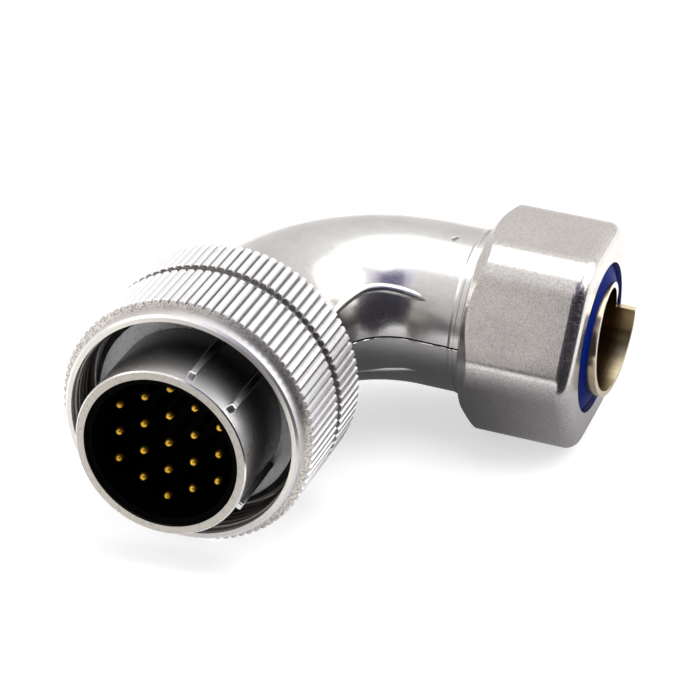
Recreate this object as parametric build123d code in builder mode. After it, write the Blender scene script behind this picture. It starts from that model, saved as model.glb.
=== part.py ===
"""Right-angle circular connector plug: nineteen pins, coupling nut, split elbow and conduit clamp.

The origin is the centre of the barrel's front rim. The plug points along -Y, the conduit
outlet along +X, and +Z is up. Lengths are millimetres.
"""
from build123d import *
from math import cos, pi, radians, sin, sqrt
import os

os.makedirs("parts", exist_ok=True)

# Fits and gaps
running_fit = 0.08           # radial, between threads and on turning seats
seat_gap = 0.05              # between pieces that stand still against each other
free_gap = 0.35              # radial, between a moving piece and what it passes

# Plug shell, from the barrel outwards
barrel_radius = 13.75
barrel_wall = 1.35
barrel_length = 14.7         # rim to the front face of the flange
rim_chamfer = 0.2
insert_step = 0.8            # the insulator's seat is wider than the barrel's bore
insert_setback = 0.5         # that seat starts this far in front of the flange's face
shell_wall = 2.3             # insulator's seat to the nut's seat and rear thread
flange_thickness = 2.5
flange_face_step = 0.7       # nut's seat to the edge of the flange's flat face
flange_step = 1.8            # nut's seat to the flange's rim
key_angles = (73.5, 42.0, -30.0)  # degrees from +X towards +Z
key_width = 1.25
key_height = 0.8
key_start = 1.8
key_rounding = 0.28
key_nose = 0.25
key_root = 0.35              # how deep a key is rooted in the barrel

# Grip pattern, the same on both rings
grip_rise = 1.45             # lip of the coupling nut to the tops of the ribs
rib_count = 90
rib_bevel = 0.12
groove_depth = 0.62
groove_top = 0.8
groove_floor = 0.12

# Coupling nut
nut_clearance = 0.7          # radial, flange to the nut's bore
nut_lip_wall = 1.05
nut_length = 13.3
nut_lip_length = 2.6         # mouth to the face in front of the ribs
nut_bevel = 0.35
nut_relief_depth = 0.4
nut_relief_length = 2.6
nut_web = 1.9
nut_skirt = 1.5              # behind the web, round the clip
friction_washer_thickness = 0.5

# Retaining clip behind the coupling nut
clip_thickness = 1.0
clip_groove_depth = 0.8
clip_step = 1.4              # radial, nut's seat to the clip's rim
clip_pocket_gap = 0.5
clip_opening = 26.0          # degrees

# Lock ring
ring_gap = 0.5               # coupling nut to lock ring
ring_hub_drop = 0.72         # tops of the ribs to the hub
ring_hub_length = 1.2
ring_thread_reach = 4.9      # length of shell thread inside the ring
ring_shoulder = 1.4
ring_rear_gap = 0.7          # radial, elbow's neck to the ring's rear bore
ring_washer_thickness = 0.5

# Insulators and contacts
insert_front = 0.6
insert_wall = 1.0
insert_flange = 2.8          # length of the insulator's wide part
insert_floor_thickness = 6.0
rear_insert_length = 4.4
insert_ring_length = 1.55
insert_ring_wall = 1.95
pin_margin = 1.99            # centres of the outer contacts to the insulator's wall
pin_columns = (3, 4, 5, 4, 3)
pin_radius = 0.62
pin_tip = 3.0
pin_collar_radius = 1.25
pin_collar_length = 1.2
pin_tail_radius = 0.95
pin_tail_reach = 4.0         # behind the rear insulator
cup_bore_radius = 0.65
cup_depth = 2.4

# Elbow
gasket_thickness = 0.6
gasket_wall = 3.55
elbow_flange_drop = 0.2      # rear thread to the elbow's flange
elbow_flange_thickness = 1.4
neck_step = 1.55             # flange to neck
elbow_step = 0.15            # neck to the round side of the bend
elbow_wall = 2.7
bend_inner_radius = 9.0      # plan radius of the skin on the inside of the bend
lip_radius = 1.0             # rounding of the raised lip inside the bend
lip_height = 0.3             # how far it stands out of the round skin
lip_low_angle = 24.0         # degrees above the plane of the bend, where the lip ends
lip_high_angle = 34.6        # and at the middle of the bend
neck_length = 4.0            # behind the lock ring, where it slides back
bend_lead = 5.8              # straight stretch before the bend
collar_straight = 7.0        # end of the bend to the collar's edge
collar_groove = 0.28
collar_groove_depth = 0.4
collar_band = 0.9
seam_gap = 0.2
tongue_height = 0.9
tongue_thickness = 0.9
tongue_cover = 1.05          # round side of the elbow to the tongue

# Outlet thread, called the spout
spout_drop = 0.55            # collar to the thread's crests
spout_wall = 1.6
spout_length = 13.22
spout_seat_depth = 8.5       # spout's end to the shoulder that the ferrule stands on

# Clamp nut
clamp_gap = 0.67             # collar's band to the nut
clamp_overhang = 6.3         # nut's face past the spout's end
clamp_wall = 4.0             # spout's thread to a flat
clamp_corner_radius = 7.8
clamp_turn = 2.0             # degrees that the top flat leans from +Z towards -Y
clamp_front_round = 2.2
clamp_rear_drop = 0.6        # flat to the rim of the rear face
clamp_hole_drop = 0.78       # spout's thread to the hole
clamp_web = 2.6
slip_washer_thickness = 0.4

# Sealing ring and ferrule
seal_flange_drop = 0.3       # spout's thread to the seal's flange
seal_tail = 3.0
seal_nose_depth = 1.0        # nose edge behind the clamp nut's face
seal_nose_rise = 1.4         # towards the ferrule
ferrule_gap = 2.25           # radial, ferrule's tube to the spout's bore
ferrule_wall = 0.9
ferrule_flange = 1.5
ferrule_overhang = 0.2       # lowest point of the spiral rim past the clamp nut's face
ferrule_lead = 3.3
ferrule_step = 12.0          # degrees from +Y towards +Z

# Radii worked out from the sizes above
barrel_bore_radius = barrel_radius - barrel_wall
insert_seat_radius = barrel_bore_radius + insert_step
shell_radius = insert_seat_radius + shell_wall
thread_bore_radius = shell_radius + running_fit
flange_face_radius = shell_radius + flange_face_step
flange_radius = shell_radius + flange_step
nut_bore_radius = flange_radius + nut_clearance
nut_lip_radius = nut_bore_radius + nut_lip_wall
grip_radius = nut_lip_radius + grip_rise
clip_radius = shell_radius + clip_step
insert_cup_radius = barrel_bore_radius - seat_gap - insert_wall
pin_pitch = (insert_cup_radius - pin_margin) / (len(pin_columns) // 2)
insert_ring_radius = insert_seat_radius - seat_gap - insert_ring_wall
elbow_flange_radius = shell_radius - elbow_flange_drop
neck_radius = elbow_flange_radius - neck_step
ring_rear_radius = neck_radius + ring_rear_gap
elbow_radius = neck_radius - elbow_step
elbow_bore_radius = elbow_radius - elbow_wall
bend_radius = elbow_radius + bend_inner_radius
spout_radius = neck_radius - spout_drop
spout_bore_radius = spout_radius - spout_wall
clamp_bore_radius = spout_radius + running_fit
clamp_flat = spout_radius + clamp_wall
clamp_rear_radius = clamp_flat - clamp_rear_drop
clamp_hole_radius = spout_radius - clamp_hole_drop
seal_flange_radius = spout_radius - seal_flange_drop
seal_nose_radius = clamp_hole_radius - running_fit
ferrule_radius = spout_bore_radius - seat_gap - ferrule_gap

# Places along the plug
insert_shoulder = barrel_length - insert_setback
insert_split = insert_shoulder + insert_flange
insert_floor = insert_split - insert_floor_thickness
rear_insert_end = insert_split + rear_insert_length
insert_ring_end = rear_insert_end + seat_gap + insert_ring_length
pin_tail_end = rear_insert_end + pin_tail_reach
flange_back = barrel_length + flange_thickness
web_front = flange_back + friction_washer_thickness + 2 * seat_gap
nut_web_end = web_front + nut_web
nut_end = nut_web_end + nut_skirt
nut_mouth = nut_end - nut_length
nut_face = nut_mouth + nut_lip_length
clip_front = nut_web_end + seat_gap
ring_front = nut_end + ring_gap
ring_face = ring_front + ring_hub_length
shell_end = ring_front + ring_thread_reach
gasket_end = shell_end + gasket_thickness
elbow_flange_end = gasket_end + elbow_flange_thickness
washer_rear = elbow_flange_end + ring_washer_thickness + 2 * seat_gap
ring_end = washer_rear + ring_shoulder
neck_end = ring_end + neck_length
bend_start = neck_end + bend_lead
outlet_y = bend_start + bend_radius

# Places along the outlet
collar_x = bend_radius + collar_straight
collar_groove_end = collar_x + collar_groove
band_end = collar_groove_end + collar_band
spout_end = band_end + spout_length
spout_seat = spout_end - spout_seat_depth
clamp_rear = band_end + clamp_gap
clamp_front = spout_end + clamp_overhang
inner_web = clamp_front - clamp_web
washer_front = inner_web - seat_gap
seal_front = washer_front - slip_washer_thickness - seat_gap
nose_edge = clamp_front - seal_nose_depth
ferrule_low = clamp_front + ferrule_overhang

plug_axis = Axis((0, 0, 0), (0, 1, 0))
outlet_axis = Axis((0, outlet_y, 0), (1, 0, 0))
bend_axis = Axis((bend_radius, bend_start, 0), (0, 0, -1))


def plug_plane(y):
    """A plane across the plug, with X and Z as its own axes and -Y as its normal."""
    return Plane(origin=(0, y, 0), x_dir=(1, 0, 0), z_dir=(0, -1, 0))


def outlet_plane(x):
    """A plane across the outlet, with Y and Z as its own axes and +X as its normal."""
    return Plane(origin=(x, outlet_y, 0), x_dir=(0, 1, 0), z_dir=(1, 0, 0))


def pin_places():
    """Centres of the contacts: upright columns of a close-packed pattern."""
    middle = (len(pin_columns) - 1) / 2
    for column, count in enumerate(pin_columns):
        for row in range(count):
            x = (column - middle) * pin_pitch * sqrt(3) / 2
            z = ((count - 1) / 2 - row) * pin_pitch
            yield x, z


def grip_grooves(start, end):
    """The grooves between the grip ribs, as one cutting solid."""
    with BuildPart() as grooves:
        with BuildSketch(plug_plane(end)):
            with PolarLocations(grip_radius, rib_count):
                Polygon(
                    (-groove_depth, -groove_floor / 2),
                    (-groove_depth, groove_floor / 2),
                    (groove_depth, groove_top - groove_floor / 2),
                    (groove_depth, groove_floor / 2 - groove_top),
                    align=None,
                )
        extrude(amount=end - start)
    return grooves.part


# One polarising key, rounded along its top and at its nose
with BuildPart() as key_bar:
    with BuildSketch(plug_plane(barrel_length + flange_thickness / 2)):
        with Locations((barrel_radius + (key_height - key_root) / 2, 0)):
            RectangleRounded(key_height + key_root, key_width, key_rounding)
    extrude(amount=barrel_length + flange_thickness / 2 - key_start)
    fillet(key_bar.faces().sort_by(Axis.Y)[0].edges(), key_nose)

# Plug shell: keyed barrel, flange, nut seat and rear thread in one turned casting
with BuildPart() as plug_shell:
    with BuildSketch(Plane.XY):
        with BuildLine():
            Polyline(
                (barrel_bore_radius, 0),
                (barrel_radius - rim_chamfer, 0),
                (barrel_radius, rim_chamfer),
                (barrel_radius, barrel_length),
                (flange_face_radius, barrel_length),
                (flange_radius, barrel_length + (flange_radius - flange_face_radius)),
                (flange_radius, flange_back),
                (shell_radius, flange_back),
                (shell_radius, clip_front),
                (shell_radius - clip_groove_depth, clip_front),
                (shell_radius - clip_groove_depth, clip_front + clip_thickness),
                (shell_radius, clip_front + clip_thickness),
                (shell_radius, shell_end - rim_chamfer),
                (shell_radius - rim_chamfer, shell_end),
                (insert_seat_radius, shell_end),
                (insert_seat_radius, insert_shoulder),
                (barrel_bore_radius, insert_shoulder),
                close=True,
            )
        make_face()
    revolve(axis=plug_axis)
    for angle in key_angles:
        add(key_bar.part.rotate(plug_axis, -angle))
plug_shell.part.label = "plug_shell"
export_step(plug_shell.part, "parts/plug_shell.step")

# Coupling nut: smooth lip, ribbed grip, inner web that turns on the shell
with BuildPart() as coupling_nut:
    with BuildSketch(Plane.XY):
        with BuildLine():
            Polyline(
                (nut_bore_radius, nut_mouth),
                (nut_lip_radius - nut_bevel, nut_mouth),
                (nut_lip_radius, nut_mouth + nut_bevel),
                (nut_lip_radius, nut_face),
                (grip_radius - rib_bevel, nut_face),
                (grip_radius, nut_face + rib_bevel),
                (grip_radius, nut_end - rib_bevel),
                (grip_radius - rib_bevel, nut_end),
                (clip_radius + clip_pocket_gap, nut_end),
                (clip_radius + clip_pocket_gap, nut_web_end),
                (thread_bore_radius, nut_web_end),
                (thread_bore_radius, web_front),
                (nut_bore_radius + nut_relief_depth, web_front),
                (nut_bore_radius + nut_relief_depth, web_front - nut_relief_length),
                (nut_bore_radius, web_front - nut_relief_length - nut_bevel),
                close=True,
            )
        make_face()
    revolve(axis=plug_axis)
    add(grip_grooves(nut_face - rib_bevel, nut_end + rib_bevel), mode=Mode.SUBTRACT)
coupling_nut.part.label = "coupling_nut"
export_step(coupling_nut.part, "parts/coupling_nut.step")

# Friction washer between the flange and the coupling nut's web
with BuildPart() as friction_washer:
    with BuildSketch(plug_plane(flange_back + seat_gap + friction_washer_thickness)):
        Circle(flange_radius)
        Circle(shell_radius + free_gap, mode=Mode.SUBTRACT)
    extrude(amount=friction_washer_thickness)
friction_washer.part.label = "friction_washer"
export_step(friction_washer.part, "parts/friction_washer.step")

# Retaining clip: an open ring sprung into the shell's groove
with BuildPart() as retaining_clip:
    with BuildSketch(Plane.XY.rotated((0, clip_opening / 2, 0))):
        with BuildLine():
            Polyline(
                (shell_radius - clip_groove_depth + seat_gap, clip_front + seat_gap),
                (clip_radius, clip_front + seat_gap),
                (clip_radius, clip_front + clip_thickness - seat_gap),
                (shell_radius - clip_groove_depth + seat_gap, clip_front + clip_thickness - seat_gap),
                close=True,
            )
        make_face()
    revolve(axis=plug_axis, revolution_arc=360 - clip_opening)
retaining_clip.part.label = "retaining_clip"
export_step(retaining_clip.part, "parts/retaining_clip.step")

# Pin insert: insulating cup that lines the barrel, with a floor drilled for the contacts
with BuildPart() as pin_insert:
    with BuildSketch(Plane.XY):
        with BuildLine():
            Polyline(
                (0, insert_floor),
                (insert_cup_radius, insert_floor),
                (insert_cup_radius, insert_front),
                (barrel_bore_radius - seat_gap, insert_front),
                (barrel_bore_radius - seat_gap, insert_shoulder + seat_gap),
                (insert_seat_radius - seat_gap, insert_shoulder + seat_gap),
                (insert_seat_radius - seat_gap, insert_split),
                (0, insert_split),
                close=True,
            )
        make_face()
    revolve(axis=plug_axis)
    with BuildSketch(plug_plane(insert_split)):
        with Locations(*pin_places()):
            Circle(pin_radius + seat_gap)
    extrude(amount=insert_split - insert_floor, mode=Mode.SUBTRACT)
pin_insert.part.label = "pin_insert"
export_step(pin_insert.part, "parts/pin_insert.step")

# Rear insert: holds the contacts' collars against the pin insert
with BuildPart() as rear_insert:
    with BuildSketch(plug_plane(rear_insert_end)):
        Circle(insert_seat_radius - seat_gap)
        with Locations(*pin_places()):
            Circle(pin_tail_radius + seat_gap, mode=Mode.SUBTRACT)
    extrude(amount=rear_insert_end - insert_split - seat_gap)
    with BuildSketch(plug_plane(insert_split + pin_collar_length + 2 * seat_gap)):
        with Locations(*pin_places()):
            Circle(pin_collar_radius + seat_gap)
    extrude(amount=pin_collar_length + 2 * seat_gap, mode=Mode.SUBTRACT)
rear_insert.part.label = "rear_insert"
export_step(rear_insert.part, "parts/rear_insert.step")

# Insert ring: threaded ring behind the insulators, with two slots for a key
with BuildPart() as insert_ring:
    with BuildSketch(plug_plane(insert_ring_end)):
        Circle(insert_seat_radius - seat_gap)
        Circle(insert_ring_radius, mode=Mode.SUBTRACT)
    extrude(amount=insert_ring_end - rear_insert_end - seat_gap)
    with BuildSketch(plug_plane(insert_ring_end)):
        Rectangle(2 * insert_seat_radius, insert_wall)
    extrude(amount=insert_wall / 2, mode=Mode.SUBTRACT)
insert_ring.part.label = "insert_ring"
export_step(insert_ring.part, "parts/insert_ring.step")

# Contacts: domed pin, collar held between the inserts, solder cup at the back
for number, (pin_x, pin_z) in enumerate(pin_places(), start=1):
    with BuildPart() as contact:
        with BuildSketch(Plane(origin=(pin_x, 0, pin_z))):
            with BuildLine():
                dome = CenterArc((0, pin_tip + pin_radius), pin_radius, -90, 90)
                Polyline(
                    dome @ 1,
                    (pin_radius, insert_split + seat_gap),
                    (pin_collar_radius, insert_split + seat_gap),
                    (pin_collar_radius, insert_split + seat_gap + pin_collar_length),
                    (pin_tail_radius, insert_split + seat_gap + pin_collar_length),
                    (pin_tail_radius, pin_tail_end),
                    (cup_bore_radius, pin_tail_end),
                    (cup_bore_radius, pin_tail_end - cup_depth),
                    (0, pin_tail_end - cup_depth),
                    dome @ 0,
                )
            make_face()
        revolve(axis=Axis((pin_x, 0, pin_z), (0, 1, 0)))
    contact.part.label = f"contact_pin_{number:02d}"
    export_step(contact.part, f"parts/contact_pin_{number:02d}.step")

# Elbow gasket between the shell and the elbow's flange
with BuildPart() as elbow_gasket:
    with BuildSketch(plug_plane(gasket_end - seat_gap)):
        Circle(elbow_flange_radius - free_gap)
        Circle(elbow_flange_radius - free_gap - gasket_wall, mode=Mode.SUBTRACT)
    extrude(amount=gasket_thickness - 2 * seat_gap)
elbow_gasket.part.label = "elbow_gasket"
export_step(elbow_gasket.part, "parts/elbow_gasket.step")

# Lock ring: thread at the front, shoulder at the back that draws the elbow to the shell
with BuildPart() as lock_ring:
    with BuildSketch(Plane.XY):
        with BuildLine():
            Polyline(
                (thread_bore_radius, ring_front),
                (grip_radius - ring_hub_drop, ring_front),
                (grip_radius - ring_hub_drop, ring_face),
                (grip_radius - rib_bevel, ring_face),
                (grip_radius, ring_face + rib_bevel),
                (grip_radius, ring_end - rib_bevel),
                (grip_radius - rib_bevel, ring_end),
                (ring_rear_radius, ring_end),
                (ring_rear_radius, washer_rear),
                (thread_bore_radius, washer_rear),
                close=True,
            )
        make_face()
    revolve(axis=plug_axis)
    add(grip_grooves(ring_face - rib_bevel, ring_end + rib_bevel), mode=Mode.SUBTRACT)
lock_ring.part.label = "lock_ring"
export_step(lock_ring.part, "parts/lock_ring.step")

# Ring washer between the lock ring's shoulder and the elbow's flange
with BuildPart() as ring_washer:
    with BuildSketch(plug_plane(washer_rear - seat_gap)):
        Circle(elbow_flange_radius)
        Circle(neck_radius + free_gap, mode=Mode.SUBTRACT)
    extrude(amount=ring_washer_thickness)
ring_washer.part.label = "ring_washer"
export_step(ring_washer.part, "parts/ring_washer.step")


def bore_path(start_y, end_x):
    """The elbow's axis: straight from the shell, a quarter turn, straight to the outlet."""
    with BuildLine() as path:
        first = Line((0, start_y), (0, bend_start))
        turn = JernArc(start=first @ 1, tangent=(0, 1), radius=bend_radius, arc_size=-90)
        Line(turn @ 1, (end_x, outlet_y))
    return path.line


def bore_solid(radius, start_y, end_x):
    """A round bar along the elbow's axis."""
    with BuildPart() as bar:
        with BuildSketch(plug_plane(start_y)):
            Circle(radius)
        sweep(path=bore_path(start_y, end_x))
    return bar.part


def lip_point(place, angle, depth):
    """A point under the elbow's skin, on the inside of the bend.

    The place is in degrees along the bend, with the straight ends running on past 0 and 90; the
    angle is above the plane of the bend, and the depth is measured from the skin.
    """
    reach = (elbow_radius - depth) * cos(radians(angle))
    height = (elbow_radius - depth) * sin(radians(angle))
    turn = radians(min(max(place, 0), 90))
    before = radians(min(place, 0)) * bend_radius
    after = radians(max(place - 90, 0)) * bend_radius
    return (
        bend_radius - cos(turn) * (bend_radius - reach) + after,
        bend_start + sin(turn) * (bend_radius - reach) + before,
        height,
    )


def elbow_lip():
    """The rounded lip that both castings have along the inside of the bend, sunk in at its ends."""
    with BuildPart() as lip:
        with BuildLine():
            crest = Spline(
                lip_point(-4, lip_low_angle, lip_radius + seat_gap),
                lip_point(20, (lip_low_angle + lip_high_angle) / 2, lip_radius - lip_height),
                lip_point(52, lip_high_angle, lip_radius - lip_height),
                lip_point(84, (lip_low_angle + 2 * lip_high_angle) / 3, lip_radius - lip_height),
                lip_point(104, lip_low_angle, lip_radius + seat_gap),
            )
        with BuildSketch(Plane(crest @ 0, z_dir=crest % 0)):
            Circle(lip_radius)
        sweep(path=crest)
    return lip.part


# Outer form of the elbow, before it is hollowed and split
with BuildPart() as elbow_form:
    add(bore_solid(elbow_radius, gasket_end, spout_end - spout_length))
    add(elbow_lip())
    mirror(elbow_lip(), about=Plane.XY)
    # flange and neck at the shell
    with BuildSketch(Plane.XY):
        with BuildLine():
            Polyline(
                (0, gasket_end),
                (elbow_flange_radius, gasket_end),
                (elbow_flange_radius, elbow_flange_end),
                (neck_radius, elbow_flange_end),
                (neck_radius, neck_end),
                (elbow_radius, neck_end + collar_band),
                (0, neck_end + collar_band),
                close=True,
            )
        make_face()
    revolve(axis=plug_axis)
    # turned collar, band and threaded spout at the outlet
    with BuildSketch(Plane.XY):
        with BuildLine():
            Polyline(
                (collar_x - collar_band, outlet_y),
                (collar_x - collar_band, outlet_y + elbow_radius),
                (collar_x - collar_band / 2, outlet_y + neck_radius),
                (collar_x, outlet_y + neck_radius),
                (collar_x, outlet_y + neck_radius - collar_groove_depth),
                (collar_groove_end, outlet_y + neck_radius - collar_groove_depth),
                (collar_groove_end, outlet_y + neck_radius),
                (band_end - collar_groove, outlet_y + neck_radius),
                (band_end, outlet_y + spout_radius),
                (spout_end - rim_chamfer, outlet_y + spout_radius),
                (spout_end, outlet_y + spout_radius - rim_chamfer),
                (spout_end, outlet_y),
                close=True,
            )
        make_face()
    revolve(axis=outlet_axis)
    # bore from flange to spout, wider where the ferrule sits
    add(bore_solid(elbow_bore_radius, gasket_end, spout_end), mode=Mode.SUBTRACT)
    with BuildSketch(outlet_plane(spout_seat)):
        Circle(spout_bore_radius)
    extrude(amount=spout_end - spout_seat, mode=Mode.SUBTRACT)


def seam_tongue(clearance):
    """The tongue along both sides of the seam, grown by a clearance for its groove."""
    tongue_reach = elbow_radius - tongue_cover - tongue_thickness / 2
    with BuildPart() as tongue:
        with BuildSketch(plug_plane(elbow_flange_end)):
            with Locations((tongue_reach, 0), (-tongue_reach, 0)):
                Rectangle(tongue_thickness + 2 * clearance, 2 * (tongue_height + clearance))
        sweep(path=bore_path(elbow_flange_end, spout_seat - collar_band))
    return tongue.part


# Upper half of the elbow, grooved along the seam
half_size = 3 * outlet_y
with BuildPart() as elbow_upper_half:
    add(elbow_form.part)
    with BuildSketch(Plane.XY.offset(seam_gap / 2)):
        Rectangle(half_size, half_size)
    extrude(amount=-half_size, mode=Mode.SUBTRACT)
    add(seam_tongue(seat_gap), mode=Mode.SUBTRACT)
elbow_upper_half.part.label = "elbow_upper_half"
export_step(elbow_upper_half.part, "parts/elbow_upper_half.step")

# Lower half of the elbow, with the tongue that locates the upper one
with BuildPart() as elbow_lower_half:
    add(elbow_form.part)
    with BuildSketch(Plane.XY.offset(-seam_gap / 2)):
        Rectangle(half_size, half_size)
    extrude(amount=half_size, mode=Mode.SUBTRACT)
    add(seam_tongue(0))
elbow_lower_half.part.label = "elbow_lower_half"
export_step(elbow_lower_half.part, "parts/elbow_lower_half.step")

# Clamp nut: rounded hexagon, bevelled at the back and rounded at the front
corner_reach = (clamp_flat - clamp_corner_radius) / cos(pi / 6) + clamp_corner_radius
clamp_bevel = corner_reach - clamp_rear_radius
with BuildPart() as clamp_nut:
    with BuildSketch(outlet_plane(clamp_rear)) as outline:
        RegularPolygon(clamp_flat, 6, major_radius=False, rotation=clamp_turn)
        fillet(outline.vertices(), clamp_corner_radius)
    extrude(amount=clamp_front - clamp_rear)
    fillet(clamp_nut.faces().sort_by(Axis.X)[-1].edges(), clamp_front_round)
    with BuildSketch(Plane.XY):
        with BuildLine():
            Polyline(
                (clamp_rear, outlet_y),
                (clamp_rear, outlet_y + clamp_rear_radius),
                (clamp_rear + 2 * clamp_bevel, outlet_y + clamp_rear_radius + 2 * clamp_bevel),
                (clamp_front, outlet_y + clamp_rear_radius + 2 * clamp_bevel),
                (clamp_front, outlet_y),
                close=True,
            )
        make_face()
    revolve(axis=outlet_axis, mode=Mode.INTERSECT)
    with BuildSketch(outlet_plane(clamp_front)):
        Circle(clamp_hole_radius)
    extrude(amount=clamp_rear - clamp_front, mode=Mode.SUBTRACT)
    with BuildSketch(outlet_plane(inner_web)):
        Circle(clamp_bore_radius)
    extrude(amount=clamp_rear - inner_web, mode=Mode.SUBTRACT)
clamp_nut.part.label = "clamp_nut"
export_step(clamp_nut.part, "parts/clamp_nut.step")

# Slip washer between the clamp nut's web and the sealing ring
with BuildPart() as slip_washer:
    with BuildSketch(outlet_plane(washer_front)):
        Circle(seal_flange_radius)
        Circle(clamp_hole_radius, mode=Mode.SUBTRACT)
    extrude(amount=-slip_washer_thickness)
slip_washer.part.label = "slip_washer"
export_step(slip_washer.part, "parts/slip_washer.step")

# Sealing ring squeezed between the spout and the clamp nut, round the ferrule
with BuildPart() as sealing_ring:
    with BuildSketch(Plane.XY):
        with BuildLine():
            Polyline(
                (spout_end - seal_tail, outlet_y + ferrule_radius + seat_gap),
                (spout_end - seal_tail, outlet_y + spout_bore_radius - seat_gap),
                (spout_end + seat_gap, outlet_y + spout_bore_radius - seat_gap),
                (spout_end + seat_gap, outlet_y + seal_flange_radius),
                (seal_front, outlet_y + seal_flange_radius),
                (seal_front, outlet_y + seal_nose_radius),
                (nose_edge, outlet_y + seal_nose_radius),
                (nose_edge + seal_nose_rise, outlet_y + ferrule_radius + seat_gap),
                close=True,
            )
        make_face()
    revolve(axis=outlet_axis)
sealing_ring.part.label = "sealing_ring"
export_step(sealing_ring.part, "parts/sealing_ring.step")

# Conduit ferrule: flange on the spout's shoulder and a rim that climbs one turn of a spiral
with BuildPart() as conduit_ferrule:
    with BuildSketch(outlet_plane(spout_seat + seat_gap)):
        Circle(spout_bore_radius - seat_gap)
        Circle(ferrule_radius - ferrule_wall, mode=Mode.SUBTRACT)
    extrude(amount=ferrule_flange)
    with BuildSketch(outlet_plane(spout_seat + seat_gap)):
        Circle(ferrule_radius)
        Circle(ferrule_radius - ferrule_wall, mode=Mode.SUBTRACT)
    extrude(amount=ferrule_low + ferrule_lead - spout_seat - 2 * seat_gap)
    # what is trimmed off above the rim, swept under a helix one lead higher
    with BuildPart(mode=Mode.PRIVATE) as above_rim:
        with BuildLine():
            trim = Helix(
                pitch=ferrule_lead,
                height=ferrule_lead,
                radius=ferrule_radius - ferrule_wall / 2,
                center=(ferrule_low + ferrule_lead, outlet_y, 0),
                direction=(1, 0, 0),
            )
        with BuildSketch(Plane(trim @ 0, x_dir=(1, 0, 0), z_dir=(0, -1, 0))):
            with Locations((-ferrule_lead / 2, 0)):
                Rectangle(ferrule_lead - seat_gap / 2, 2 * ferrule_wall)
        sweep(path=trim, is_frenet=True)
    add(above_rim.part.rotate(outlet_axis, ferrule_step - 90), mode=Mode.SUBTRACT)
conduit_ferrule.part.label = "conduit_ferrule"
export_step(conduit_ferrule.part, "parts/conduit_ferrule.step")
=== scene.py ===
from math import cos, pi, radians, sin

import bmesh
import bpy
from mathutils import Matrix, Vector


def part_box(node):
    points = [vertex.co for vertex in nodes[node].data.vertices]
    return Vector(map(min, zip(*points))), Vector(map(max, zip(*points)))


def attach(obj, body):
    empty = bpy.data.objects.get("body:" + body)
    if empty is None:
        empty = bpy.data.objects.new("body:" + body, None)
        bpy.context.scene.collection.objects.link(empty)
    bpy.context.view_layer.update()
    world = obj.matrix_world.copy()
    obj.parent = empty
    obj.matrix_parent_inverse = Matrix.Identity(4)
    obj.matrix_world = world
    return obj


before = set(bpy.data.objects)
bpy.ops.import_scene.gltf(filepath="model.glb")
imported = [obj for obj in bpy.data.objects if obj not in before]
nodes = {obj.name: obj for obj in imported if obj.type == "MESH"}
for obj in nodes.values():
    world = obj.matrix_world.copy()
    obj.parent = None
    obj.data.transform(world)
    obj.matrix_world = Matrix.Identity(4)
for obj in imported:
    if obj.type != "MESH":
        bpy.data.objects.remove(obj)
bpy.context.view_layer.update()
scene = bpy.context.scene
mm = 0.001
print("frame loaded with", len(nodes), "nodes")


# Places read from the frame, in metres
nutLow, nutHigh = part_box("coupling_nut")
ringLow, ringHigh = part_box("lock_ring")
clampLow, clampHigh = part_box("clamp_nut")
gripRadius = nutHigh.x
outletY = (clampLow.y + clampHigh.y) / 2

# What all metal and plastic has in common: soft clouds, fine specks, painted shade at a thread's root
skinLook = {"softEdge": 0.1 * mm, "cloudRange": (0.35, 0.7), "speckRange": (0.45, 0.75), "roughClouds": 0.04,
            "rootRange": (0.1, 0.3), "rootShade": 0.6}


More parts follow.
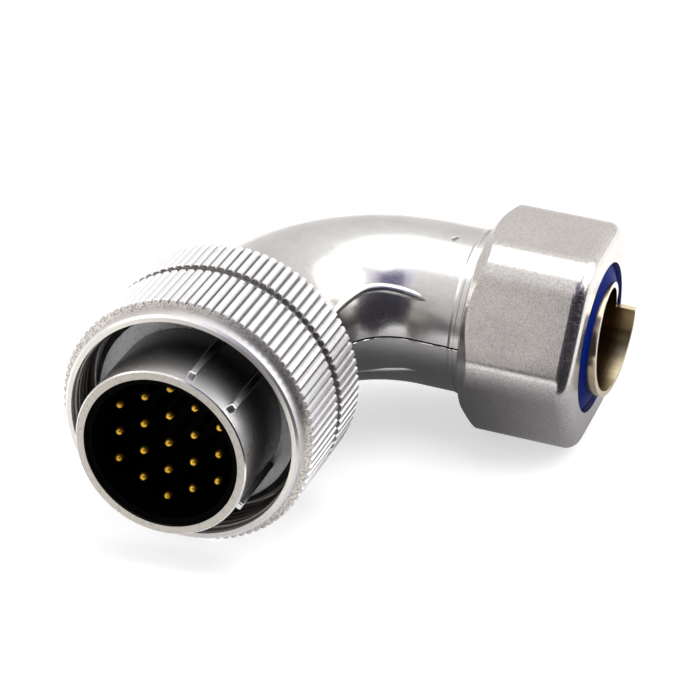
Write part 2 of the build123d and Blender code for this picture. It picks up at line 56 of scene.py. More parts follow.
class Graph:
    # shorthand for building one node tree
    def __init__(self, tree):
        self.nodes, self.links = tree.nodes, tree.links

    def put(self, kind, **settings):
        node = self.nodes.new(kind)
        for key, value in settings.items():
            setattr(node, key, value)
        return node

    def feed(self, socket, value):
        if isinstance(value, bpy.types.NodeSocket):
            self.links.new(value, socket)
        elif isinstance(value, tuple) and len(value) == 3 and socket.type == "RGBA":
            socket.default_value = (*value, 1)
        else:
            socket.default_value = value

    def calc(self, operation, *values):
        node = self.put("ShaderNodeMath", operation=operation)
        for socket, value in zip(node.inputs, values):
            self.feed(socket, value)
        return node.outputs[0]

    def step(self, value, low, high, toLow=0.0, toHigh=1.0):
        # a soft step: toLow below low, toHigh above high
        node = self.put("ShaderNodeMapRange", interpolation_type="SMOOTHSTEP")
        for socket, part in zip(node.inputs, (value, low, high, toLow, toHigh)):
            self.feed(socket, part)
        return node.outputs[0]

    def past(self, value, edge, soft=skinLook["softEdge"]):
        # 0 up to the edge and 1 past it
        return self.step(value, edge, edge + soft)

    def before(self, value, edge, soft=skinLook["softEdge"]):
        # 1 up to the edge and 0 past it
        return self.step(value, edge, edge + soft, 1.0, 0.0)

    def both(self, *masks):
        # masks and amounts multiplied together
        product = masks[0]
        for mask in masks[1:]:
            product = self.calc("MULTIPLY", product, mask)
        return product

    def mixColor(self, factor, a, b):
        # a Mix node keeps its colour sockets at 6, 7 and 2, and its number sockets at 2, 3 and 0
        node = self.put("ShaderNodeMix", data_type="RGBA")
        for socket, value in ((node.inputs[0], factor), (node.inputs[6], a), (node.inputs[7], b)):
            self.feed(socket, value)
        return node.outputs[2]

    def mixFloat(self, factor, a, b):
        node = self.put("ShaderNodeMix", data_type="FLOAT")
        for socket, value in ((node.inputs[0], factor), (node.inputs[2], a), (node.inputs[3], b)):
            self.feed(socket, value)
        return node.outputs[0]

    def noise(self, vector, scale, detail=2.0, roughness=0.6):
        node = self.put("ShaderNodeTexNoise")
        for name, value in (("Vector", vector), ("Scale", scale), ("Detail", detail),
                            ("Roughness", roughness)):
            self.feed(node.inputs[name], value)
        return node.outputs[0]

    def split(self, vector):
        node = self.put("ShaderNodeSeparateXYZ")
        self.feed(node.inputs[0], vector)
        return node.outputs

    def join(self, x, y, z):
        node = self.put("ShaderNodeCombineXYZ")
        for socket, value in zip(node.inputs, (x, y, z)):
            self.feed(socket, value)
        return node.outputs[0]

    def farFrom(self, vector, place):
        node = self.put("ShaderNodeVectorMath", operation="DISTANCE")
        self.feed(node.inputs[0], vector)
        node.inputs[1].default_value = place
        return node.outputs["Value"]


class Finish(Graph):
    # one material on a Principled shader, with the piece's own coordinates at hand
    def __init__(self, name, look):
        self.material = bpy.data.materials.new(name)
        self.material.use_nodes = True
        super().__init__(self.material.node_tree)
        self.shader = self.nodes["Principled BSDF"].inputs
        where = self.put("ShaderNodeTexCoord")
        self.coords = where.outputs["Object"]
        self.x, self.y, self.z = self.split(self.coords)
        self.normal = where.outputs["Normal"]
        self.look = look
        self.color = look["color"]
        self.rough = look["roughness"]
        self.shader["Metallic"].default_value = look.get("metallic", 1.0)

    def around(self, a, b):
        # radius and angle round an axis, from the two coordinates across it
        squares = self.calc("ADD", self.calc("MULTIPLY", a, a), self.calc("MULTIPLY", b, b))
        return self.calc("SQRT", squares), self.calc("ARCTAN2", b, a)

    def aboutPlug(self):
        return self.around(self.x, self.z)

    def aboutOutlet(self):
        return self.around(self.calc("SUBTRACT", self.y, outletY), self.z)

    def stretched(self, x=1.0, y=1.0):
        # the piece's coordinates with the pattern drawn out or pressed together along x or y
        return self.join(self.calc("MULTIPLY", self.x, x), self.calc("MULTIPLY", self.y, y), self.z)

    def pitted(self, scale):
        return self.noise(self.coords, scale, detail=3.0, roughness=0.7)

    def grit(self, scale):
        # a random height for each small cell, as a blasted skin has
        node = self.put("ShaderNodeTexVoronoi")
        self.feed(node.inputs["Vector"], self.coords)
        self.feed(node.inputs["Scale"], scale)
        return self.split(node.outputs["Color"])[0]

    def spot(self, place, radius, soft):
        # 1 inside a small ball round a place on the piece
        return self.before(self.farFrom(self.coords, place), radius, soft)

    def tint(self, mask, color, roughness=None):
        self.color = self.mixColor(mask, self.color, color)
        if roughness is not None:
            self.rough = self.mixFloat(mask, self.rough, roughness)

    def mottle(self):
        # large soft clouds, darker and rougher, and fine dark specks
        look = self.look
        large = self.noise(self.coords, look["cloudScale"], detail=3.0)
        fine = self.noise(self.coords, look["speckScale"], roughness=0.7)
        clouds = self.step(large, *skinLook["cloudRange"])
        specks = self.step(fine, *skinLook["speckRange"])
        self.tint(self.both(clouds, look["clouds"]), look["dark"])
        self.tint(self.both(specks, look["specks"]), look["dark"])
        self.rough = self.calc("ADD", self.rough, self.both(clouds, skinLook["roughClouds"]))

    def bump(self, height, depth):
        # depth is the real height, in metres, of a full step of the pattern
        node = self.put("ShaderNodeBump")
        node.inputs["Strength"].default_value = 1.0
        node.inputs["Distance"].default_value = depth
        self.feed(node.inputs["Height"], height)
        if self.shader["Normal"].links:
            self.feed(node.inputs["Normal"], self.shader["Normal"].links[0].from_socket)
        self.feed(self.shader["Normal"], node.outputs["Normal"])

    def turned(self, mask):
        # fine lines left by the lathe, round the plug's axis
        along = self.join(0.0, self.calc("MULTIPLY", self.y, self.look["lathe"]), 0.0)
        self.bump(self.both(self.noise(along, 1.0, roughness=0.7), mask), self.look["latheDepth"])

    def thread(self, along, angle, mask):
        # a helical ridge on a bore or shaft, where mask is 1, with painted shade in its root
        turns = self.calc("ADD", self.calc("DIVIDE", along, self.look["threadPitch"]),
                          self.calc("DIVIDE", angle, 2 * pi))
        ridge = self.calc("PINGPONG", turns, 0.5)
        self.bump(self.both(ridge, mask), 2 * self.look["threadDepth"])
        # painted shade: the root of the ridge is darkened
        root = self.step(ridge, *skinLook["rootRange"], 1.0, 0.0)
        self.tint(self.both(root, mask, skinLook["rootShade"]), self.look["dark"])

    def close(self):
        self.feed(self.shader["Base Color"], self.color)
        self.feed(self.shader["Roughness"], self.rough)
        return self.material


def dress(material, *names):
    for name in names:
        nodes[name].data.materials.clear()
        nodes[name].data.materials.append(material)


# Plug shell: satin barrel with painted shade towards its deep end, beige rim with a polished edge painted
# brighter as a highlight, rough grey flange, rear thread
shellLook = {"color": (0.70, 0.70, 0.70), "dark": (0.26, 0.25, 0.24), "roughness": 0.24, "clouds": 0.2,
             "cloudScale": 160.0, "specks": 0.2, "speckScale": 2600.0, "blastScale": 4200.0,
             "blast": 0.003 * mm, "lathe": 5200.0, "latheDepth": 0.004 * mm,
             "flange": (0.46, 0.46, 0.46), "flangeRoughness": 0.5, "flangeFront": 14.6 * mm,
             "flangeBack": 17.3 * mm, "pitScale": 1500.0, "pitRange": (0.52, 0.62), "pitShade": 0.5,
             "pitDepth": 0.10 * mm,
             "deep": (0.13, 0.13, 0.14), "deepFrom": 4.5 * mm, "deepTo": 12.0 * mm, "deepShade": 0.9,
             "rim": (0.52, 0.49, 0.44), "rimRoughness": 0.5, "rimDepth": 0.06 * mm, "spotScale": 1300.0,
             "spotRange": (0.52, 0.66), "spotShade": 0.45, "spotDepth": 0.02 * mm,
             "paintedEdgeHighlight": (0.84, 0.83, 0.81), "edgeRoughness": 0.18, "edgeRadius": 13.5 * mm,
             "edgeDepth": 0.2 * mm, "edgeFade": 0.3 * mm,
             "threadStart": 22.6 * mm, "threadRadius": 15.3 * mm, "threadPitch": 1.5 * mm,
             "threadDepth": 0.25 * mm}


def shellMetal():
    look = shellLook
    finish = Finish("shell nickel", look)
    finish.mottle()
    radius, angle = finish.aboutPlug()
    flange = finish.both(finish.past(finish.y, look["flangeFront"]),
                         finish.before(finish.y, look["flangeBack"]))
    finish.tint(flange, look["flange"], look["flangeRoughness"])
    # painted shade: the barrel darkens from 4.5 mm to 12 mm deep, up to the flange
    deep = finish.both(finish.step(finish.y, look["deepFrom"], look["deepTo"]),
                       finish.before(finish.y, look["flangeFront"]), look["deepShade"])
    finish.tint(deep, look["deep"])
    rim = finish.before(finish.y, look["rimDepth"], look["rimDepth"])
    finish.tint(rim, look["rim"], look["rimRoughness"])
    # a polished outer edge on the rim, painted brighter than the metal as a highlight
    edge = finish.both(finish.past(radius, look["edgeRadius"]),
                       finish.before(finish.y, look["edgeDepth"], look["edgeFade"]))
    finish.tint(edge, look["paintedEdgeHighlight"], look["edgeRoughness"])
    finish.turned(finish.calc("SUBTRACT", 1.0, rim))
    finish.bump(finish.grit(look["blastScale"]), look["blast"])
    pits = finish.pitted(look["pitScale"])
    finish.tint(finish.both(flange, finish.step(pits, *look["pitRange"]), look["pitShade"]), look["dark"])
    finish.bump(finish.both(pits, flange), look["pitDepth"])
    spots = finish.pitted(look["spotScale"])
    finish.tint(finish.both(rim, finish.step(spots, *look["spotRange"]), look["spotShade"]), look["dark"])
    finish.bump(finish.both(spots, rim), look["spotDepth"])
    rear = finish.both(finish.past(finish.y, look["threadStart"]), finish.past(radius, look["threadRadius"]))
    finish.thread(finish.y, angle, rear)
    return finish.close()


dress(shellMetal(), "plug_shell", "insert_ring")
print("plug shell finished")


# Coupling nut and lock ring: matte blasted faces, bright ribs with painted shade in the grooves, painted
# shade deep in the bore, polished lip
ringLook = {"color": (0.98, 0.975, 0.985), "dark": (0.26, 0.24, 0.22), "roughness": 0.38, "clouds": 0.1,
            "cloudScale": 140.0, "specks": 0.1, "speckScale": 1500.0, "skinScale": 2400.0, "skin": 0.003 * mm,
            "lathe": 4200.0, "latheDepth": 0.004 * mm,
            "faceRange": (0.6, 0.9), "flankRange": (0.2, 0.5), "face": (0.68, 0.65, 0.60),
            "faceRoughness": 0.3, "faceGrain": 0.015 * mm, "nutLip": 19.06 * mm, "ringHub": 19.0 * mm,
            "sand": (0.12, 0.10, 0.08), "sandScale": 5000.0, "sandRange": (0.4, 0.9), "sandShade": 0.55,
            "sandDepth": 0.035 * mm,
            "groove": (0.06, 0.056, 0.06), "grooveRoughness": 0.4, "grooveShade": 0.8, "ribDepth": 0.62 * mm,
            "ribTop": 0.2 * mm, "belowGroove": 0.2 * mm,
            "boreRadius": 18.5 * mm, "boreEnd": 17.5 * mm, "boreFade": 0.2 * mm,
            "dimFrom": 8.3 * mm, "dimTo": 9.0 * mm, "dimShade": 0.75, "dimRoughness": 0.34,
            "bore": (0.06, 0.055, 0.05), "darkFrom": 9.4 * mm, "darkTo": 12.0 * mm, "darkShade": 0.9,
            "darkRoughness": 0.5,
            "threadStart": ringLow.y + 0.3 * mm, "threadEnd": ringHigh.y - 2.2 * mm,
            "threadRadius": 15.8 * mm, "threadPitch": 1.0 * mm, "threadDepth": 0.2 * mm}


def ringMetal(name, lipRadius, threaded):
    look = ringLook
    finish = Finish(name, look)
    finish.mottle()
    radius, angle = finish.aboutPlug()
    facing = finish.calc("ABSOLUTE", finish.split(finish.normal)[1])   # 1 where it faces along the plug
    face = finish.step(facing, *look["faceRange"])
    flank = finish.step(facing, *look["flankRange"], 1.0, 0.0)
    finish.tint(face, look["face"], look["faceRoughness"])
    grooveRadius = gripRadius - look["ribDepth"]
    # painted shade: the rib flanks are darkened down in the grooves
    groove = finish.both(finish.past(radius, grooveRadius - look["belowGroove"]),
                         finish.step(radius, grooveRadius, gripRadius - look["ribTop"], 1.0, 0.0))
    finish.tint(finish.both(groove, flank, look["grooveShade"]), look["groove"], look["grooveRoughness"])
    sand = finish.grit(look["sandScale"])
    sandy = finish.both(face, finish.past(radius, lipRadius))
    finish.tint(finish.both(sandy, finish.step(sand, *look["sandRange"]), look["sandShade"]), look["sand"])
    finish.bump(finish.both(sand, sandy), look["sandDepth"])
    finish.bump(finish.both(sand, face), look["faceGrain"])
    finish.turned(flank)
    finish.bump(finish.noise(finish.coords, look["skinScale"]), look["skin"])
    if threaded:
        bore = finish.both(finish.past(finish.y, look["threadStart"]),
                           finish.before(finish.y, look["threadEnd"]),
                           finish.before(radius, look["threadRadius"]))
        finish.thread(finish.y, angle, bore)
    # painted shade: the bore darkens inwards, first to the sand colour, then to nearly black
    inBore = finish.both(finish.before(radius, look["boreRadius"]),
                         finish.before(finish.y, look["boreEnd"], look["boreFade"]))
    paintedDimShade = finish.both(inBore, finish.step(finish.y, look["dimFrom"], look["dimTo"]), look["dimShade"])
    finish.tint(paintedDimShade, look["sand"], look["dimRoughness"])
    dark = finish.both(inBore, finish.step(finish.y, look["darkFrom"], look["darkTo"]), look["darkShade"])
    finish.tint(dark, look["bore"], look["darkRoughness"])
    return finish.close()


nutMaterial = ringMetal("nut nickel", ringLook["nutLip"], threaded=False)
dress(nutMaterial, "coupling_nut")
dress(ringMetal("ring nickel", ringLook["ringHub"], threaded=True), "lock_ring")
print("rings finished")


# Thread in the coupling nut's mouth: one ridge swept along a spiral, thinned out at both ends
threadLook = {"Turns": 4.2, "Steps": 96, "Radius": 18.04 * mm, "Length": 5.4 * mm, "Ridge Height": 0.42 * mm,
              "Ridge Root": 1.0 * mm, "Ridge Crest": 0.3 * mm, "Taper": 0.06, "Thinnest": 0.2,
              "Start": nutLow.y + 0.95 * mm}


def threadTree(material):
    tree = bpy.data.node_groups.new("mouth thread", "GeometryNodeTree")
    for name, value in threadLook.items():
        kind = "NodeSocketInt" if isinstance(value, int) else "NodeSocketFloat"
        tree.interface.new_socket(name, in_out="INPUT", socket_type=kind)
    tree.interface.new_socket("Geometry", in_out="OUTPUT", socket_type="NodeSocketGeometry")
    graph = Graph(tree)
    size = graph.put("NodeGroupInput").outputs
    spiral = graph.put("GeometryNodeCurveSpiral")
    for name, value in (("Resolution", size["Steps"]), ("Rotations", size["Turns"]),
                        ("Start Radius", size["Radius"]), ("End Radius", size["Radius"]),
                        ("Height", size["Length"])):
        graph.feed(spiral.inputs[name], value)
    ridge = graph.put("GeometryNodeCurvePrimitiveQuadrilateral", mode="TRAPEZOID")
    for name, value in (("Height", size["Ridge Height"]), ("Bottom Width", size["Ridge Root"]),
                        ("Top Width", size["Ridge Crest"]), ("Offset", 0.0)):
        graph.feed(ridge.inputs[name], value)
    turned = graph.put("GeometryNodeTransform")   # the ridge's crest points at the axis
    graph.feed(turned.inputs["Geometry"], ridge.outputs[0])
    graph.feed(turned.inputs["Translation"],
               graph.join(graph.calc("MULTIPLY", size["Ridge Height"], 0.5), 0.0, 0.0))
    turned.inputs["Rotation"].default_value = (0.0, 0.0, -pi / 2)
    along = graph.put("GeometryNodeSplineParameter").outputs["Factor"]
    nearEnd = graph.calc("MINIMUM", along, graph.calc("SUBTRACT", 1.0, along))
    thickness = graph.step(nearEnd, 0.0, size["Taper"], size["Thinnest"], 1.0)
    sweep = graph.put("GeometryNodeCurveToMesh")
    for name, value in (("Curve", spiral.outputs[0]), ("Profile Curve", turned.outputs[0]),
                        ("Scale", thickness), ("Fill Caps", True)):
        graph.feed(sweep.inputs[name], value)
    laid = graph.put("GeometryNodeTransform")   # from round Z to round the plug's axis
    graph.feed(laid.inputs["Geometry"], sweep.outputs[0])
    laid.inputs["Rotation"].default_value = (-pi / 2, 0.0, 0.0)
    graph.feed(laid.inputs["Translation"], graph.join(0.0, size["Start"], 0.0))
    real = graph.put("GeometryNodeRealizeInstances")
    graph.feed(real.inputs[0], laid.outputs[0])
    painted = graph.put("GeometryNodeSetMaterial")
    graph.feed(painted.inputs["Geometry"], real.outputs[0])
    painted.inputs["Material"].default_value = material
    graph.feed(graph.put("NodeGroupOutput").inputs[0], painted.outputs[0])
    return tree


def grow(name, tree, sizes, body):
    # runs a tree on an empty mesh and keeps the result as one plain mesh on its body
    seed = bpy.data.objects.new(name, bpy.data.meshes.new(name))
    scene.collection.objects.link(seed)
    modifier = seed.modifiers.new("grow", "NODES")
    modifier.node_group = tree
    for item in tree.interface.items_tree:
        if item.in_out == "INPUT" and item.name in sizes:
            modifier[item.identifier] = sizes[item.name]
    grown = bpy.data.meshes.new_from_object(seed.evaluated_get(bpy.context.evaluated_depsgraph_get()))
    seed.modifiers.clear()
    seed.data = grown
    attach(seed, body)


grow("mouth_thread", threadTree(nutMaterial), threadLook, "coupling_nut_body")
print("mouth thread swept")


# Elbow: two satin castings, with casting marks, a brown stain, and along the seam raised chips of flash
# painted bright as a highlight
elbowLook = {"color": (0.70, 0.69, 0.67), "dark": (0.24, 0.22, 0.20), "roughness": 0.2, "clouds": 0.16,
             "cloudScale": 90.0, "specks": 0.1, "speckScale": 2000.0, "blastScale": 4400.0,
             "blast": 0.003 * mm, "rippleScale": 220.0, "ripple": 0.02 * mm,
             "seam": (0.015, 0.015, 0.015), "seamRoughness": 0.8, "seamHalf": 0.13 * mm,
             "seamFade": 0.03 * mm, "flashHighlight": (0.9, 0.89, 0.87), "flashRoughness": 0.12,
             "flashFrom": -0.34 * mm, "flashFade": 0.05 * mm, "flashDepth": 0.15 * mm,
             "chipScale": 500.0, "chipRange": (0.36, 0.54),
             "nick": (25.6 * mm, 61.2 * mm, 13.48 * mm), "nickRadius": 0.2 * mm,
             "nickEnd": (25.3 * mm, 60.7 * mm, 13.42 * mm), "nickEndRadius": 0.25 * mm,
             "nickFade": 0.25 * mm, "nickEndFade": 0.3 * mm, "nickRoughness": 0.5, "nickDepth": 0.12 * mm,
             "stain": (0.20, 0.12, 0.08), "stainPlace": (17.4 * mm, 48.2 * mm, 3.5 * mm),
             "stainRadius": 0.5 * mm, "stainFade": 1.6 * mm, "stainScale": 900.0, "stainRange": (0.48, 0.6),
             "stainRoughness": 0.4,
             "threadStart": 31.0 * mm, "threadRadius": 12.9 * mm, "threadPitch": 1.5 * mm,
             "threadDepth": 0.25 * mm}


def elbowMetal():
    look = elbowLook
    finish = Finish("elbow nickel", look)
    finish.mottle()
    radius, angle = finish.aboutOutlet()
    chips = finish.step(finish.pitted(look["chipScale"]), *look["chipRange"])
    # raised chips of flash below the seam, painted bright as the edge highlight of the lower half
    flashHighlight = finish.both(finish.step(finish.z, look["flashFrom"], -look["seamHalf"]), chips,
                        finish.before(finish.z, 0.0, look["flashFade"]))
    finish.tint(flashHighlight, look["flashHighlight"], look["flashRoughness"])
    finish.bump(finish.calc("SUBTRACT", 1.0, flashHighlight), look["flashDepth"])
    seam = finish.before(finish.calc("ABSOLUTE", finish.z), look["seamHalf"], look["seamFade"])
    finish.tint(seam, look["seam"], look["seamRoughness"])
    nick = finish.calc("MAXIMUM", finish.spot(look["nick"], look["nickRadius"], look["nickFade"]),
                       finish.spot(look["nickEnd"], look["nickEndRadius"], look["nickEndFade"]))
    finish.tint(nick, look["dark"], look["nickRoughness"])
    stain = finish.both(finish.spot(look["stainPlace"], look["stainRadius"], look["stainFade"]),
                        finish.step(finish.pitted(look["stainScale"]), *look["stainRange"]))
    finish.tint(stain, look["stain"], look["stainRoughness"])
    finish.bump(finish.calc("SUBTRACT", 1.0, nick), look["nickDepth"])
    finish.bump(finish.noise(finish.coords, look["rippleScale"], roughness=0.5), look["ripple"])
    finish.bump(finish.grit(look["blastScale"]), look["blast"])
    spout = finish.both(finish.past(finish.x, look["threadStart"]), finish.past(radius, look["threadRadius"]))
    finish.thread(finish.x, angle, spout)
    return finish.close()


dress(elbowMetal(), "elbow_upper_half", "elbow_lower_half")
print("elbow finished")


# Clamp nut: fine blasted satin, with a thread in its bore
clampLook = {"color": (0.70, 0.67, 0.64), "dark": (0.24, 0.23, 0.22), "roughness": 0.17, "clouds": 0.1,
             "cloudScale": 110.0, "specks": 0.3, "speckScale": 5200.0,
             "blastScale": 4400.0, "blast": 0.008 * mm, "blastRange": (0.3, 1.0), "blastShade": 0.22,
             "threadEnd": clampHigh.x - 4.0 * mm, "threadRadius": 13.4 * mm, "threadPitch": 1.5 * mm,
             "threadDepth": 0.25 * mm}


def clampMetal():
    look = clampLook
    finish = Finish("nut satin", look)
    finish.mottle()
    radius, angle = finish.aboutOutlet()
    grit = finish.grit(look["blastScale"])
    finish.bump(grit, look["blast"])
    finish.tint(finish.both(finish.step(grit, *look["blastRange"]), look["blastShade"]), look["dark"])
    bore = finish.both(finish.before(radius, look["threadRadius"]),
                       finish.before(finish.x, look["threadEnd"]))
    finish.thread(finish.x, angle, bore)
    return finish.close()


dress(clampMetal(), "clamp_nut")
print("clamp nut finished")


# Steel washers and the clip: rolled strip with fine lines
steelLook = {"color": (0.52, 0.51, 0.50), "dark": (0.22, 0.20, 0.19), "roughness": 0.32, "clouds": 0.3,
             "cloudScale": 200.0, "specks": 0.3, "speckScale": 1800.0,
             "lineScale": 900.0, "lineStretch": 8.0, "lineDepth": 0.01 * mm}


def springSteel():
    look = steelLook
    finish = Finish("spring steel", look)
    finish.mottle()
    lines = finish.noise(finish.stretched(y=look["lineStretch"]), look["lineScale"])
    finish.bump(lines, look["lineDepth"])
    return finish.close()


dress(springSteel(), "friction_washer", "retaining_clip", "ring_washer", "slip_washer")


# Insulators of black moulded plastic and a gasket of black rubber
plasticLook = {"color": (0.0006, 0.0006, 0.0007), "dark": (0.002, 0.002, 0.0021), "roughness": 0.5,
               "metallic": 0.0, "clouds": 0.3, "cloudScale": 150.0, "specks": 0.3, "speckScale": 2500.0,
               "gloss": 0.018, "grainScale": 1600.0, "grain": 0.01 * mm}
rubberLook = {**plasticLook, "roughness": 0.7, "grain": 0.03 * mm}


def blackMoulding(name, look):
    finish = Finish(name, look)
    finish.mottle()
    finish.bump(finish.pitted(look["grainScale"]), look["grain"])
    finish.shader["Specular IOR Level"].default_value = look["gloss"]
    return finish.close()


dress(blackMoulding("insulator black", plasticLook), "pin_insert", "rear_insert")
dress(blackMoulding("gasket black", rubberLook), "elbow_gasket")


# Contacts: gold on the domes, with painted shade on the rods further down
goldLook = {"color": (0.92, 0.54, 0.055), "dark": (0.45, 0.22, 0.04), "roughness": 0.42, "clouds": 0.25,
            "cloudScale": 500.0, "specks": 0.25, "speckScale": 4000.0,
            "paintedRodShade": (0.10, 0.055, 0.012), "rodShadeRoughness": 0.35, "rodShadeStart": 3.7 * mm,
            "rodShadeFade": 0.5 * mm, "lineScale": 1500.0, "lineStretch": 6.0, "lineDepth": 0.002 * mm}


def contactGold():
    look = goldLook
    finish = Finish("contact gold", look)
    finish.mottle()
    # painted shade: the rods darken past the dome, down in the black insert
    paintedShadeOnRods = finish.past(finish.y, look["rodShadeStart"], look["rodShadeFade"])
    finish.tint(paintedShadeOnRods, look["paintedRodShade"], look["rodShadeRoughness"])
    lines = finish.noise(finish.stretched(y=look["lineStretch"]), look["lineScale"], roughness=0.5)
    finish.bump(lines, look["lineDepth"])
    return finish.close()


dress(contactGold(), *[name for name in nodes if name.startswith("contact_pin")])
print("washers, insulators and contacts finished")


# Sealing ring: deep blue elastomer
sealLook = {"color": (0.0, 0.012, 0.17), "dark": (0.0, 0.005, 0.07), "roughness": 0.45, "metallic": 0.0,
            "clouds": 0.25, "cloudScale": 180.0, "specks": 0.2, "speckScale": 1500.0, "gloss": 0.03,
            "grainScale": 1200.0, "grain": 0.01 * mm}


def blueSeal():
    look = sealLook
    finish = Finish("seal blue", look)
    finish.mottle()
    finish.bump(finish.noise(finish.coords, look["grainScale"]), look["grain"])
    finish.shader["Specular IOR Level"].default_value = look["gloss"]
    return finish.close()


dress(blueSeal(), "sealing_ring")


# Conduit ferrule: thin brass, pale outside and rim, painted shade inside with dark streaks, and painted light
# inside near the mouth
ferruleLook = {"color": (0.84, 0.72, 0.50), "dark": (0.12, 0.07, 0.03), "roughness": 0.14, "clouds": 0.15,
               "cloudScale": 120.0, "specks": 0.12, "speckScale": 1500.0, "grainScale": 1500.0,
               "grain": 0.003 * mm,
               "inside": (0.38, 0.25, 0.09), "insideRoughness": 0.2, "innerRadius": 8.42 * mm,
               "paintedMouthLight": (0.96, 0.83, 0.54), "mouthLightFrom": 49.8 * mm, "mouthLightTo": 53.0 * mm,
               "mouthLightRoughness": 0.34,
               "streakScale": 260.0, "streakStretch": 0.15, "streakRange": (0.45, 0.6), "streakShade": 0.45}


def ferruleBrass():
    look = ferruleLook
    finish = Finish("ferrule brass", look)
    finish.mottle()
    inside = finish.before(finish.aboutOutlet()[0], look["innerRadius"])
    # painted shade: the inside of the tube is darkened
    finish.tint(inside, look["inside"], look["insideRoughness"])
    # painted light: the inside is brightened near the mouth
    mouth = finish.both(inside, finish.step(finish.x, look["mouthLightFrom"], look["mouthLightTo"]))
    finish.tint(mouth, look["paintedMouthLight"], look["mouthLightRoughness"])
    streaks = finish.noise(finish.stretched(x=look["streakStretch"]), look["streakScale"])
    streaked = finish.both(inside, finish.step(streaks, *look["streakRange"]), look["streakShade"])
    finish.tint(streaked, look["dark"])
    finish.bump(finish.noise(finish.coords, look["grainScale"]), look["grain"])
    return finish.close()


dress(ferruleBrass(), "conduit_ferrule")
print("seal and ferrule finished")


# Floor: pale card that glows a little to the camera. The part lies on its rings and its clamp nut, so
# the floor leans three degrees.
floorLook = {"normal": (-0.0532, 0.0, 0.9986), "size": 3.0, "albedo": 0.8, "roughness": 0.9, "gloss": 0.1,
             "lift": 0.55, "gap": 0.05 * mm}


def isSeen(graph):
    # 1 for rays that come from the camera, straight, off metal or through glass
    path = graph.put("ShaderNodeLightPath").outputs
    seen = graph.calc("MAXIMUM", path["Is Camera Ray"], path["Is Glossy Ray"])
    return graph.calc("MAXIMUM", seen, path["Is Transmission Ray"])


def floorHeight(x):
    return -floorLook["normal"][0] / floorLook["normal"][2] * x - gripRadius


def makeFloor():
    bpy.ops.mesh.primitive_plane_add(size=floorLook["size"])
    floor = bpy.context.object
    floor.name = "floor"
    normal = Vector(floorLook["normal"]).normalized()
    floor.rotation_euler = normal.to_track_quat("Z", "Y").to_euler()
    floor.location = -normal * (gripRadius + floorLook["gap"])
    material = bpy.data.materials.new("floor white")
    material.use_nodes = True
    graph = Graph(material.node_tree)
    shader = graph.nodes["Principled BSDF"].inputs
    shader["Base Color"].default_value = (*[floorLook["albedo"]] * 3, 1)
    shader["Roughness"].default_value = floorLook["roughness"]
    shader["Specular IOR Level"].default_value = floorLook["gloss"]
    shader["Emission Color"].default_value = (1, 1, 1, 1)
    graph.feed(shader["Emission Strength"], graph.calc("MULTIPLY", isSeen(graph), floorLook["lift"]))
    floor.data.materials.append(material)


# Tent: white above, beige grey towards the horizon, plain white where the camera looks at it
tentLook = {"top": (1.0, 1.0, 1.0), "low": (0.88, 0.855, 0.85), "heightRange": (0.45, 0.8), "forDiffuse": 0.4,
            "seen": (1.0, 1.0, 1.0)}


def makeTent():
    world = bpy.data.worlds.new("tent")
    world.use_nodes = True
    scene.world = world
    graph = Graph(world.node_tree)
    background = graph.nodes["Background"].inputs
    height = graph.split(graph.put("ShaderNodeTexCoord").outputs["Generated"])[2]
    shade = graph.mixColor(graph.step(height, *tentLook["heightRange"]), tentLook["low"], tentLook["top"])
    path = graph.put("ShaderNodeLightPath").outputs
    graph.feed(background["Color"], graph.mixColor(path["Is Camera Ray"], shade, tentLook["seen"]))
    graph.feed(background["Strength"], graph.mixFloat(isSeen(graph), tentLook["forDiffuse"], 1.0))


def towards(compass, height, distance):
    # a place seen from the part: degrees from +Y towards +X, degrees up, metres
    compass, height = radians(compass), radians(height)
    flat = cos(height) * distance
    return Vector((sin(compass) * flat, cos(compass) * flat, sin(height) * distance))


# Softboxes: place, the point they face, width and radiance
lampLook = {"softbox above": ((0.02, 0.12, 0.8), (0.01, 0.03, 0.0), 0.7, 1.9),
            "softbox right": (towards(62, 30, 0.75), (0.02, 0.03, 0.0), 0.72, 1.8),
            "softbox left": (towards(-95, 40, 0.7), (0.0, 0.03, 0.0), 0.4, 1.5)}


def makeLamp(name, place, target, size, radiance):
    lamp = bpy.data.lights.new(name, "AREA")
    lamp.shape = "SQUARE"
    lamp.size = size
    lamp.energy = radiance * pi * size * size   # in watts
    holder = bpy.data.objects.new(name, lamp)
    scene.collection.objects.link(holder)
    holder.location = place
    holder.rotation_euler = (Vector(target) - Vector(place)).to_track_quat("-Z", "Y").to_euler()


def onlyMirrored(card, core, edge, near, far, middle=(0.0, 0.0, 0.0)):
    # a card that only the metal sees: core within near of the middle, edge beyond far
    material = bpy.data.materials.new(card.name)
    material.use_nodes = True
    graph = Graph(material.node_tree)
    shader = graph.nodes["Principled BSDF"].inputs
    shader["Base Color"].default_value = (0, 0, 0, 1)
    shader["Specular IOR Level"].default_value = 0.0
    away = graph.farFrom(graph.put("ShaderNodeTexCoord").outputs["Object"], middle)
    graph.feed(shader["Emission Color"], graph.mixColor(graph.step(away, near, far), core, edge))
    shader["Emission Strength"].default_value = 1.0
    card.data.materials.append(material)
    card.visible_camera = card.visible_diffuse = card.visible_shadow = False


# Dark cloth on the table ahead of the part and up behind the camera: rows of reach and rise, in metres
clothLook = {"core": (0.035, 0.032, 0.045), "edge": (0.30, 0.29, 0.31), "middle": towards(150, 0, 0.62),
             "near": 0.62, "far": 1.15, "compassFrom": 62.0, "compassTo": 189.5, "steps": 24,
             "rows": ((0.055, 0.0), (0.2, 0.0), (0.7, 0.0), (0.8, 0.08), (0.82, 0.7)),
             "gap": 1.0 * mm, "lowest": 0.2, "climb": 2.6}


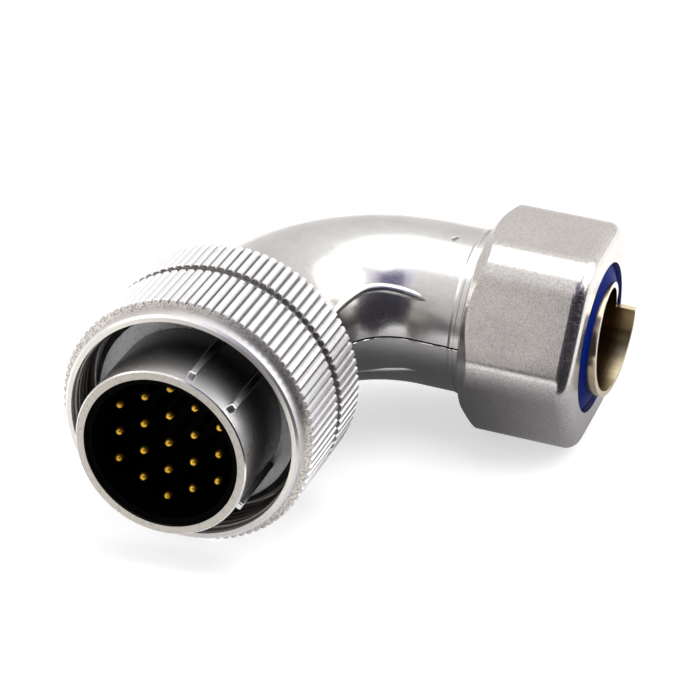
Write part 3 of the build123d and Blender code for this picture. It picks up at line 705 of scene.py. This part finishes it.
def makeCloth():
    look = clothLook
    form = bmesh.new()
    rows = []
    for reach, rise in look["rows"]:
        row = []
        for step in range(look["steps"] + 1):
            part = step / look["steps"]
            compass = look["compassFrom"] + (look["compassTo"] - look["compassFrom"]) * part
            place = towards(compass, 0.0, reach)
            share = min(1.0, look["lowest"] + (1 - look["lowest"]) * part * look["climb"])
            height = floorHeight(place.x) + look["gap"] + rise * share   # it hangs lower on the right
            row.append(form.verts.new((place.x, place.y, height)))
        rows.append(row)
    for low, high in zip(rows, rows[1:]):
        for a, b, c, d in zip(low, low[1:], high[1:], high):
            form.faces.new((a, b, c, d))
    mesh = bpy.data.meshes.new("dark cloth")
    form.to_mesh(mesh)
    form.free()
    cloth = bpy.data.objects.new("dark cloth", mesh)
    scene.collection.objects.link(cloth)
    onlyMirrored(cloth, look["core"], look["edge"], look["near"], look["far"], look["middle"])


# Two round cards: the shade on the floor under the part, and a violet patch in the tent's roof
footX, footY = 0.022, 0.054
patchCompass, patchHeight = 148, 54
discLook = {"shade under the part": {"place": (footX, footY, floorHeight(footX) + 0.6 * mm),
                                     "facing": floorLook["normal"], "radius": 0.06, "near": 0.006,
                                     "core": (0.095, 0.095, 0.10), "edge": (0.86, 0.84, 0.88)},
            "roof patch": {"place": towards(patchCompass, patchHeight, 1.1),
                           "facing": towards(patchCompass, patchHeight, -1.0), "radius": 0.52, "near": 0.2,
                           "core": (0.14, 0.13, 0.28), "edge": (1.25, 1.2, 1.35)}}


def makeDisc(name, place, facing, radius, near, core, edge, corners=64):
    bpy.ops.mesh.primitive_circle_add(vertices=corners, radius=radius, fill_type="NGON")
    disc = bpy.context.object
    disc.name = name
    disc.location = place
    disc.rotation_euler = Vector(facing).to_track_quat("Z", "Y").to_euler()
    onlyMirrored(disc, core, edge, near, radius)


# Camera, fitted to the photo
cameraLook = {"place": (0.147725, -0.359755, 0.234842), "right": (0.9391912, 0.3397213, 0.0500932),
              "up": (-0.2064581, 0.4420600, 0.8729021), "lens": 156.78, "sensor": 36.0,
              "near": 0.01, "far": 20.0}


def makeCamera():
    camera = bpy.data.objects.new("camera", bpy.data.cameras.new("camera"))
    scene.collection.objects.link(camera)
    right = Vector(cameraLook["right"])
    up = Vector(cameraLook["up"])
    turn = Matrix((right, up, right.cross(up))).transposed().to_4x4()
    camera.matrix_world = Matrix.Translation(cameraLook["place"]) @ turn
    camera.data.lens = cameraLook["lens"]
    camera.data.sensor_width = cameraLook["sensor"]
    camera.data.clip_start = cameraLook["near"]
    camera.data.clip_end = cameraLook["far"]
    scene.camera = camera


makeFloor()
makeTent()
for name, settings in lampLook.items():
    makeLamp(name, *settings)
makeCloth()
for name, settings in discLook.items():
    makeDisc(name, **settings)
makeCamera()
scene.view_settings.view_transform = "Standard"
print("stage and camera set")
